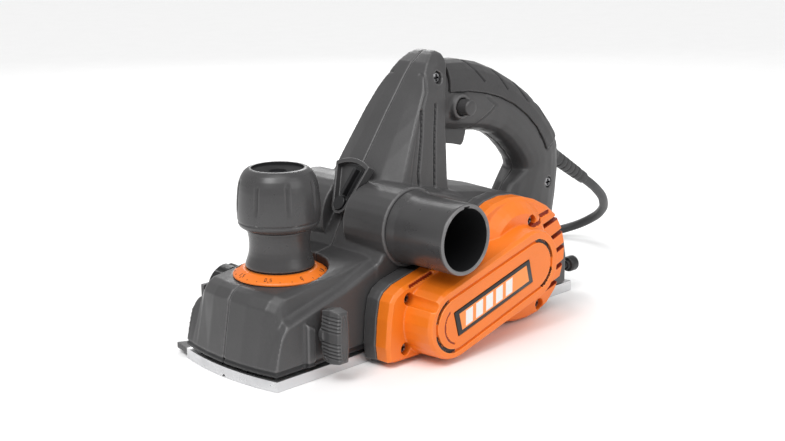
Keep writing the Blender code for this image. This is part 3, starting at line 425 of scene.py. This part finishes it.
def paint(obj, look, mask):
    """Give the faces whose centres pass mask(points, normals) another material."""
    obj.data.materials.append(look)
    index = len(obj.data.materials) - 1
    n = len(obj.data.polygons)
    centre, normal = np.empty(n * 3), np.empty(n * 3)
    obj.data.polygons.foreach_get("center", centre)
    obj.data.polygons.foreach_get("normal", normal)
    chosen = mask(centre.reshape(-1, 3) / MM, normal.reshape(-1, 3))
    slots = np.zeros(n, int)
    obj.data.polygons.foreach_get("material_index", slots)
    slots[chosen] = index
    obj.data.polygons.foreach_set("material_index", slots)
    return obj


def finish_piece(obj, look, node, *more):
    """Smooth-shade the piece, dress it, and let it stand for its CAD node on that node's body."""
    if not obj.data.materials:
        obj.data.materials.append(look)
    for poly in obj.data.polygons:
        poly.use_smooth = True
    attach(obj, BODY_OF[node])
    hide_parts(node, *more)
    return obj


def moulded(name, node, look, voxel, rounds, tools=(), depth=None, weight=None):
    """A CAD node's shape with soft moulded edges and pressed-in detail."""
    obj = copy_node(name, node)
    if tools:
        cut(obj, tools)
    even_mesh(obj, voxel)
    relax(obj, rounds, weight)
    if depth:
        press(obj, depth)
    obj.data.materials.clear()
    obj.data.materials.append(look)
    return finish_piece(obj, look, node)


# ---------------------------------------------------------------- mains cord
CORD_D = 7.5
EXIT = Vector((100.0, 0.0, 99.4))
EXIT_DIR = Vector((0.857, 0.0, -0.515)).normalized()
FLOOR, LANE = 4.1, 70.5
COIL_X, COIL_Y = 30.0, LANE + 47.5
COIL_R = (47.5, 40.0, 32.5)


def ease(t):
    t = min(max(t, 0.0), 1.0)
    return t * t * (3 - 2 * t)


def coil_point(turn):
    """Point of the coil after that many turns: inwards on the floor, then back out on top."""
    inwards = sum(7.5 * ease((turn - start) / 0.2) for start in (0.4, 1.4))
    outwards = sum(7.5 * ease((turn - start) / 0.2) for start in (3.0, 4.0))
    radius = COIL_R[0] - inwards + outwards
    z = FLOOR + CORD_D * ease((turn - 2.2) / 0.2)
    angle = -math.pi / 2 - 2 * math.pi * turn
    return Vector((COIL_X + radius * math.cos(angle), COIL_Y + radius * math.sin(angle), z))


route = curve_through([
    EXIT - EXIT_DIR * 11, EXIT + EXIT_DIR * 20, EXIT + EXIT_DIR * 62, (172, 1, 55.3), (190, 7, 42),
    (204, 19, 28.5), (209, 35, 17), (203, 51, 8.5), (188, 63, 4.8), (165, LANE - 1, FLOOR),
    (130, LANE, FLOOR), (95, LANE, FLOOR), (59, LANE, FLOOR)], 30.0)
TURNS, PER_TURN = 5, 20
route += [coil_point(k / PER_TURN) for k in range(TURNS * PER_TURN + 1)]
plug_low, plug_high = node_box("power_plug")
route += [Vector((8.0, LANE, FLOOR + 7.2)), Vector((-10.0, LANE, 9.6)), Vector((-23.1, LANE, 7.7))]
cord_curve = bpy.data.curves.new("mains_cord", "CURVE")
cord_curve.dimensions = "3D"
cord_curve.bevel_depth = CORD_D / 2 * MM
cord_curve.bevel_resolution = 5
cord_curve.resolution_u = 5
cord_curve.use_fill_caps = True
spline = cord_curve.splines.new("BEZIER")
spline.bezier_points.add(len(route) - 1)
for point, place in zip(spline.bezier_points, route):
    point.co = place * MM
    point.handle_left_type = point.handle_right_type = "AUTO"
cord = bpy.data.objects.new("mains_cord", cord_curve)
bpy.context.scene.collection.objects.link(cord)
cord_curve.materials.append(CORD_RUBBER)
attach(cord, ROOT)
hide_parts("power_cord", "cord_tail", "cord_coil")

# tapered strain relief with moulded rings
GLAND = [(4.1, -6.5), (7.8, -6.5), (7.8, -1.4), (6.4, -1.4), (6.4, 10.0), (5.8, 13.0)]
for k in range(6):
    t = 16.0 + 6.0 * k
    r = 5.75 - 0.12 * k
    GLAND += [(r, t), (r, t + 3.6), (r - 0.55, t + 4.2), (r - 0.55, t + 5.4)]
GLAND += [(4.9, 54.0), (4.8, 59.4), (4.5, 60.0), (4.1, 60.0)]
gland = turned("strain_relief", rounded(GLAND, 0.5, 3), EXIT, EXIT_DIR, CORD_RUBBER, 48, ring=True)
finish_piece(gland, CORD_RUBBER, "cord_gland")

# plug: softened moulding with grip ribs, and two bright pins
plug = copy_node("plug_moulding", "power_plug")
even_mesh(plug, 0.45)
relax(plug, 10)


def plug_ribs(p, n):
    across = np.abs(n[:, 2]) < 0.75
    ribs = np.zeros(len(p))
    for k in range(5):
        ribs += groove(np.abs(p[:, 0] - (plug_high[0] - 14.0 - 3.4 * k)), 1.2, 0.7)
    return np.where(across, ribs, 0.0)


press(plug, plug_ribs)
plug.data.materials.append(CORD_RUBBER)
paint(plug, BRASS, lambda p, n: p[:, 0] < plug_low[0] + 18.6)
finish_piece(plug, CORD_RUBBER, "power_plug")

# ---------------------------------------------------------------- housings
TOWER_EDGE = [(-53.1, 180.7), (-52.0, 172.9), (-56.0, 162.3), (-64.4, 150.0), (-70.8, 135.6),
              (-76.9, 120.3), (-83.9, 100.7)]
FLUTES = [[(-62.6, 151.6), (-67.2, 131.8), (-73.5, 112.4), (-73.9, 104.2)],
          [(-46.6, 153.8), (-52.0, 129.7), (-57.5, 99.8)]]
PANEL = [(-33.0, 159.6), (-33.0, 132.5), (-6.3, 128.9), (1.3, 130.2), (22.6, 144.7), (12.0, 152.0)]


TOWER_FOOT, NOSE_BACK, PLINTH_TOP = 99.0, -122.0, 12.0
# half width and depth of what is pressed into the shells and the grip
FLUTE, TOWER_LINE, PLINTH_LINE = (2.3, 2.0), (1.4, 0.7), (1.2, 0.9)
PANEL_LINE, GRIP_GROOVE = (1.3, 0.9), (1.9, 1.6)
# half width of the shaded floor of the flutes and of the grip's grooves
FLUTE_FLOOR, GRIP_FLOOR = 1.0, 0.8


def shell_depth(side):
    """Pressed-in detail of one housing half."""
    def depth(p, n):
        flat = p[:, [0, 2]]
        out = np.zeros(len(p))
        tower = (p[:, 2] > TOWER_FOOT) & (side * p[:, 1] > 12.0)
        for line in FLUTES:
            out += tower * groove(line_distance(flat, line), *FLUTE)
        out += tower * groove(line_distance(flat, TOWER_EDGE), *TOWER_LINE)
        nose = (p[:, 0] < NOSE_BACK) & (p[:, 2] < 62.0)
        upright = np.clip(1.4 - np.abs(n[:, 2]) * 2, 0, 1)
        out += nose * groove(np.abs(p[:, 2] - (PLINTH_TOP + 0.2)), *PLINTH_LINE) * upright
        handle = (p[:, 0] > -34.0) & (side * p[:, 1] > 9.0) & (p[:, 2] > 110.0)
        out += handle * groove(line_distance(flat, PANEL), *PANEL_LINE)
        return out
    return depth


def calm(p):
    """Weights of the smoothing: full on the handle and post, a little less elsewhere."""
    handle = (p[:, 0] > -30.0) & (p[:, 2] > 96.0)
    return np.where(handle, 1.0, 0.8)


def flute_floor(p, n):
    """Shaded floor of the flutes in the tower's sides."""
    return (p[:, 2] > TOWER_FOOT) & (np.abs(p[:, 1]) > 12.0) & (nearest(p, FLUTES) < FLUTE_FLOOR)


def plinth(p, n):
    """Dark band round the foot of the nose."""
    return (p[:, 0] < NOSE_BACK) & (p[:, 2] < PLINTH_TOP)


for side, node in ((-1, "left_housing"), (1, "right_housing")):
    shell = moulded(node.replace("housing", "shell"), node, CHARCOAL, voxel=0.85, rounds=14,
                    depth=shell_depth(side), weight=calm)
    # Painted shade: black on the floors of the flutes.
    paint(shell, BLACK, flute_floor)
    paint(shell, BLACK, plinth)

# handle grip with its four cross grooves
GRIP_CUTS = [((-2.4, 178.0), (9.6, 163.5)), ((25.1, 170.0), (35.1, 155.0)),
             ((47.7, 158.0), (59.0, 143.5)), ((73.0, 142.0), (81.0, 129.4))]


def grip_depth(p, n):
    """The cross grooves."""
    return sum(groove(line_distance(p[:, [0, 2]], line), *GRIP_GROOVE) for line in GRIP_CUTS)


grip = moulded("soft_grip", "handle_grip", GRIP_RUBBER, voxel=0.6, rounds=24, depth=grip_depth)
# Painted shade: black on the floors of the cross grooves.
paint(grip, BLACK, lambda p, n: nearest(p, GRIP_CUTS) < GRIP_FLOOR)

# ---------------------------------------------------------------- belt case and cover
LOBE_A, LOBE_B = (-99.0, 27.0), (-19.0, 48.5)
# shaded grooves across the cover: line, half width of the groove and of its shaded floor
DUCTS = [([(-42.0, 63.0), (21.5, 75.0)], 2.2, 1.5), ([(-117.4, 50.8), (-97.5, 55.6)], 1.6, 1.0)]
DUCT_DEPTH = 2.0


def arc_line(centre, radius, first, last, steps=8):
    """Points along an arc in XZ, from one angle in degrees to another."""
    turns = [math.radians(first + (last - first) * k / steps) for k in range(steps + 1)]
    return [(centre[0] + radius * math.cos(a), centre[1] + radius * math.sin(a)) for a in turns]


SHADED_SLOTS = [arc_line(LOBE_B, 17.2, 84.0, 10.0), arc_line(LOBE_B, 17.6, -18.0, -62.0),
              arc_line(LOBE_A, 17.7, 112.0, 166.0), arc_line(LOBE_A, 18.0, 200.0, 269.0)]
HOOK = arc_line((-96.5, 26.0), 12.6, 130.0, 252.0)
# middle lines of the cooling slots through the rim of the cover
FIN_SLOTS = [[(12.0, 63.5), (44.0, 72.5)], [(24.6, 54.1), (48.0, 61.5)], [(32.0, 44.2), (50.0, 50.2)],
             [(32.5, 31.6), (50.0, 38.4)], [(10.0, 15.6), (44.0, 24.6)]]


COVER_FACE, RIM_LIMIT, FLANGE = -87.5, -76.0, -58.3


def cover_depth(p, n):
    """Slots and hook on the outer face, and ducts on the rim."""
    flat = p[:, [0, 2]]
    face = p[:, 1] < COVER_FACE
    out = np.zeros(len(p))
    for line in SHADED_SLOTS:
        out += face * groove(line_distance(flat, line), 1.5, 2.4)
    out += face * groove(line_distance(flat, HOOK), 0.9, 0.8)
    rim = (p[:, 1] > RIM_LIMIT) & (n[:, 1] < -0.3)
    for line, half, _ in DUCTS:
        out += rim * groove(line_distance(flat, line), half, DUCT_DEPTH)
    return out


def painted_orange_shade(p, n):
    """Painted shade: darker orange on the floors of the ducts and of the hook, and on the walls of the
    cooling slots.
    """
    flat = p[:, [0, 2]]
    rim = p[:, 1] > RIM_LIMIT
    mask = (p[:, 1] < COVER_FACE + 0.5) & (line_distance(flat, HOOK) < 0.6)
    for line, _, floor_half in DUCTS:
        mask |= rim & (line_distance(flat, line) < floor_half)
    return mask | ((nearest(p, FIN_SLOTS) < 1.9) & (p[:, 1] < FLANGE) & (np.abs(n[:, 1]) < 0.75))


def slot_floor_shade(p, n):
    """Painted shade: black on the floors of the slots on the outer face."""
    return (p[:, 1] < COVER_FACE + 3.5) & (nearest(p, SHADED_SLOTS) < 1.15)


cover = moulded("belt_guard", "belt_cover", ORANGE, voxel=0.5, rounds=5, depth=cover_depth)
# Painted shade: darker orange in the ducts, the hook groove and the cooling slot walls.
paint(cover, ORANGE_SHADE, painted_orange_shade)
# Painted shade: black on the floors of the curved slots.
paint(cover, BLACK, slot_floor_shade)
moulded("belt_tray", "belt_case", CHARCOAL, voxel=0.7, rounds=8)

# label: black frame with an orange field and a plain pale bar pattern
LABEL_AT, LEAN = Vector((-61.5, 0, 36.3)), math.radians(15.0)


def label_box(name, u0, u1, v0, v1, y0, y1, look, slant=0.0):
    """A thin plate in the label's own directions: u along it, v up it."""
    pts = []
    for u, v in ((u0, v0), (u1, v0), (u1 + slant, v1), (u0 + slant, v1)):
        pts.append((LABEL_AT.x + u * math.cos(LEAN) - v * math.sin(LEAN),
                    LABEL_AT.z + u * math.sin(LEAN) + v * math.cos(LEAN)))
    obj = prism(name, pts, y0, y1, look)
    mod = obj.modifiers.new("edge", "BEVEL")
    mod.width, mod.segments, mod.limit_method = 0.12 * MM, 2, "ANGLE"
    return bake(obj)


plate = label_box("label_frame", -38.4, 38.4, -8.4, 8.4, -88.35, -89.25, BLACK)
finish_piece(plate, BLACK, "label_plate")
field = label_box("label_field", -34.6, 34.6, -5.9, 5.9, -89.2, -89.38, ORANGE)
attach(field, ROOT)
BARS, BAR_START, BAR_PITCH, BAR_WIDTH = 5, -31.0, 10.2, 7.0
for k in range(BARS):
    start = BAR_START + BAR_PITCH * k
    bar = label_box(f"label_bar_{k + 1}", start, start + BAR_WIDTH, -4.9, 4.9, -89.3, -89.4, WHITE, slant=2.6)
    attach(bar, ROOT)

# ---------------------------------------------------------------- depth knob
KNOB = (-168.6, 0.0, 0.0)
Z = (0, 0, 1)


def notched(r, t, a):
    """Eight slim vertical notches round the cap."""
    if not 97.0 < t < 121.0 or r < 20.0:
        return r
    phase = (a - math.radians(18.0)) % math.radians(45.0)
    off = min(phase, math.radians(45.0) - phase) * r
    span = ease((t - 97.0) / 9.0) * (1 - ease((t - 117.0) / 4.0))
    return r - 1.6 * span * max(0.0, 1 - off / 1.5)


CAP = rounded([
    (16.4, 88.4), (22.6, 88.4), (25.2, 90.2), (26.2, 92.4), (25.6, 93.4), (26.4, 94.4), (26.6, 100.0),
    (26.5, 104.0), (26.2, 109.0), (25.7, 114.0), (24.9, 118.0), (23.6, 121.4), (21.8, 124.4), (19.4, 126.4),
    (17.6, 127.0), (16.5, 126.6), (16.1, 125.2), (8.0, 124.6), (5.6, 124.4), (4.8, 123.2), (1e-3, 122.8),
    (1e-3, 112.4), (16.4, 112.4)], 0.8, 3)
cap = turned("knob_cap", CAP, KNOB, Z, CHARCOAL_SMOOTH, 192, ring=True, shape=notched)
CAP_DISH = 16.8
paint(cap, BLACK_MATTE, lambda p, n: np.hypot(p[:, 0] - KNOB[0], p[:, 1]) < CAP_DISH)
finish_piece(cap, CHARCOAL_SMOOTH, "depth_knob_cap")
NECK = rounded([
    (5.3, 45.0), (19.6, 45.0), (19.8, 56.8), (20.6, 57.2), (20.7, 63.0), (22.3, 63.6), (21.9, 65.6),
    (20.9, 68.4), (20.0, 71.4), (19.45, 75.0), (19.35, 78.0), (19.6, 82.0), (20.2, 85.6), (20.9, 87.8),
    (16.0, 88.0), (16.0, 104.0), (5.3, 104.0)], 0.7, 3)
neck = turned("knob_neck", NECK, KNOB, Z, CHARCOAL_SMOOTH, 128, ring=True)
finish_piece(neck, CHARCOAL_SMOOTH, "depth_knob_neck")
RING = rounded([(21.2, 57.4), (30.3, 57.4), (30.3, 58.5), (29.6, 59.2), (24.4, 62.2), (23.6, 62.4),
                (21.2, 62.4)], 0.4, 3)
ring = turned("scale_ring", RING, KNOB, Z, ORANGE, 160, ring=True)
finish_piece(ring, ORANGE, "depth_scale_ring")

# generic depth figures and ticks on the ring's slope
STROKES = {
    "0": [[(0, 0), (1, 0), (1, 2), (0, 2), (0, 0)]],
    "1": [[(0.5, 0), (0.5, 2)]],
    "5": [[(1, 2), (0, 2), (0, 1.1), (1, 1.1), (1, 0), (0, 0)]],
    ".": [[(0.4, 0), (0.6, 0)]],
    "|": [[(0.5, 0), (0.5, 2.4)]],
}


def ring_point(a, up):
    """Point on the ring's conical face at angle a, `up` mm up its slope, just proud of it."""
    r, z = 29.6 - up * 0.86, 59.25 + up * 0.5
    return Vector((KNOB[0] + (r + 0.03) * math.cos(a), (r + 0.03) * math.sin(a), z + 0.05))


def write_on_ring(text, centre):
    strokes = []
    width = 1.7 * len(text)
    for i, letter in enumerate(text):
        for stroke in STROKES[letter]:
            line = []
            for u, v in stroke:
                s = (i * 1.7 + u * 1.05 - width / 2) / 27.5
                line.append(ring_point(centre + s, 1.5 + v * 1.25))
            strokes.append(line)
    return strokes


marks = bpy.data.curves.new("scale_marks", "CURVE")
marks.dimensions = "3D"
marks.bevel_depth = 0.16 * MM
lines = []
for k in range(24):
    a = math.radians(15.0 * k + 4.0)
    lines.append([ring_point(a, 0.3), ring_point(a, 1.2)])
for k, text in enumerate(("0.5", "0", "1.0", "1.5") * 2):
    lines += write_on_ring(text, math.radians(45.0 * k + 214.0))
for line in lines:
    part = marks.splines.new("POLY")
    part.points.add(len(line) - 1)
    for point, place in zip(part.points, line):
        point.co = (*(place * MM), 1.0)
marks_obj = bpy.data.objects.new("scale_marks", marks)
bpy.context.scene.collection.objects.link(marks_obj)
marks.materials.append(BLACK)
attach(marks_obj, "depth_knob")

# ---------------------------------------------------------------- chip outlet and selector
OUTLET = (-96.5, 0.0, 82.6)
TUBE = rounded([
    (19.9, 38.0), (19.9, 47.8), (24.6, 47.8), (24.2, 50.0), (23.4, 54.0), (23.1, 60.0), (23.0, 93.6),
    (22.3, 95.0), (20.8, 95.0), (20.0, 94.0), (19.8, 80.0), (19.6, 56.0), (17.4, 50.0), (17.4, 38.0)], 0.6, 3)
tube = turned("outlet_tube", TUBE, OUTLET, (0, -1, 0), CHARCOAL_SMOOTH, 128, ring=True)
NOTCH_HALF, NOTCH_LOW, NOTCH_HIGH = 2.6, 17.0, 21.7
MOUTH, BORE_LIMIT = -94.2, 20.6
corners = [(-NOTCH_HALF, NOTCH_LOW), (NOTCH_HALF, NOTCH_LOW), (NOTCH_HALF, NOTCH_HIGH),
           (-NOTCH_HALF, NOTCH_HIGH)]
notch = prism("notch", [(OUTLET[0] + u, OUTLET[2] + v) for u, v in corners], -98.0, -86.0)
cut(tube, [notch])
tube.data.materials.clear()
tube.data.materials.append(CHARCOAL_SMOOTH)
# Painted highlight: the rim faces of the mouth get the lighter charcoal.
paint(tube, CHARCOAL_HIGHLIGHT, lambda p, n: (p[:, 1] < MOUTH) & (n[:, 1] < -0.3))


def bore(p, n):
    """Shaded wall inside the outlet."""
    return (p[:, 1] > MOUTH + 0.2) & (np.hypot(p[:, 0] - OUTLET[0], p[:, 2] - OUTLET[2]) < BORE_LIMIT)


# Painted shade: matte black on the wall inside the outlet.
paint(tube, BLACK_MATTE, bore)
finish_piece(tube, CHARCOAL_SMOOTH, "chip_outlet")
sharpen = tube.modifiers.new("sharp", "EDGE_SPLIT")
sharpen.split_angle = math.radians(50.0)
bake(tube)
moulded("outlet_blank", "chip_blank", CHARCOAL, voxel=0.6, rounds=6)
moulded("selector_rim", "selector_frame", CHARCOAL, voxel=0.4, rounds=12)
moulded("selector_arm", "selector_lever", BLACK, voxel=0.3, rounds=4)

# ---------------------------------------------------------------- fence clamp, trigger, buttons, knobs
FENCE = (-173.0, 29.5)
RIBS, RIB_PITCH, RIB_STARTS = 5, 2.3, (4.0, -13.0)
LEAF_HALF, LEAF_SLENDER = 14.0, 0.16


def wing_depth(p, n):
    """Two groups of five grip ribs on the front edge, and a leaf line on the outer face."""
    out = np.zeros(len(p))
    front = (n[:, 0] < -0.5) & (p[:, 1] < -48.0)
    for k in range(RIBS):
        for base in RIB_STARTS:
            out += front * groove(np.abs(p[:, 2] - (FENCE[1] + base + RIB_PITCH * k)), 0.75, 0.9)
    face = (n[:, 1] < -0.5) & (p[:, 1] < -62.0)
    leaf = np.abs(np.hypot((p[:, 0] - FENCE[0]) / LEAF_SLENDER, p[:, 2] - FENCE[1]) - LEAF_HALF)
    return out + face * groove(leaf, 1.6, 0.5)


moulded("fence_wing", "fence_knob", CHARCOAL, voxel=0.4, rounds=6, depth=wing_depth)
moulded("switch_trigger", "trigger", CHARCOAL_SMOOTH, voxel=0.5, rounds=6)
moulded("lock_button", "lock_off_button", CHARCOAL_SMOOTH, voxel=0.4, rounds=8)
moulded("stop_plate", "rebate_stop", CHARCOAL, voxel=0.6, rounds=6)
moulded("stop_knob", "rebate_knob", BLACK, voxel=0.5, rounds=6)
moulded("parking_knob", "rear_knob", BLACK, voxel=0.35, rounds=6)

# depth spring: the CAD spring with a mesh of its own on its body; on the tool it shortens towards its fixed
# upper end as the front sole lifts
spring = finish_piece(copy_node("spring_coil", "depth_spring"), STEEL, "depth_spring")
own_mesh(spring)

# ---------------------------------------------------------------- CAD pieces that stay
shown = [n for n, obj in NODES.items() if not obj.hide_render]
SCREWS = ("cover_screw", "housing_screw")
for node in shown:
    obj = NODES[node]
    look = DARK_STEEL if node.startswith(SCREWS) else SLOT_LOOK[SLOT_OF[node]]
    obj.data.materials.clear()
    obj.data.materials.append(look)
SOLE_BEVEL = 0.5
for node in ("rear_sole", "front_sole"):
    bevel = NODES[node].modifiers.new("edge", "BEVEL")
    bevel.width, bevel.segments, bevel.limit_method = SOLE_BEVEL * MM, 3, "ANGLE"
    bevel.angle_limit = math.radians(40.0)


# ---------------------------------------------------------------- studio
def hang(name, data, facing, at=(0, 0, 0)):
    """Put a light in the scene, facing that way."""
    lamp = bpy.data.objects.new(name, data)
    bpy.context.scene.collection.objects.link(lamp)
    lamp.location = at
    lamp.rotation_euler = Vector(facing).to_track_quat("-Z", "Y").to_euler()


def area_light(name, at, target, size, power):
    """Round soft box."""
    data = bpy.data.lights.new(name, "AREA")
    data.shape, data.size, data.energy = "DISK", size, power
    hang(name, data, Vector(target) - Vector(at), at)


def sun(name, direction, strength, spread):
    """Wide soft light that falls on near and far floor alike."""
    data = bpy.data.lights.new(name, "SUN")
    data.energy, data.angle = strength, math.radians(spread)
    hang(name, data, direction)


CENTRE = (-0.05, 0.0, 0.07)
sun("overhead", (0.35, 0.30, -1.0), 1.25, 50.0)
sun("cover_side", (-0.25, 1.0, -0.55), 0.55, 35.0)
area_light("key", (-0.75, -0.15, 0.85), CENTRE, 0.45, 3.2)
area_light("rim", (0.55, 0.75, 0.75), CENTRE, 0.6, 5.0)
world = bpy.data.worlds.new("studio")
bpy.context.scene.world = world
world.use_nodes = True
background = world.node_tree.nodes["Background"].inputs
background["Color"].default_value = (1.0, 1.0, 1.0, 1.0)
background["Strength"].default_value = 0.54
REACH, FLOOR_Z = 6000, -0.2
floor_corners = [(u * REACH, v * REACH, FLOOR_Z) for u, v in ((-1, -1), (1, -1), (1, 1), (-1, 1))]
floor = put("floor", floor_corners, [(0, 1, 2, 3)],
            surface("floor_paint", (0.96, 0.96, 0.96), 0.7, vary=0.01, grain_depth=0.0))
bpy.context.scene.view_settings.view_transform = "Standard"
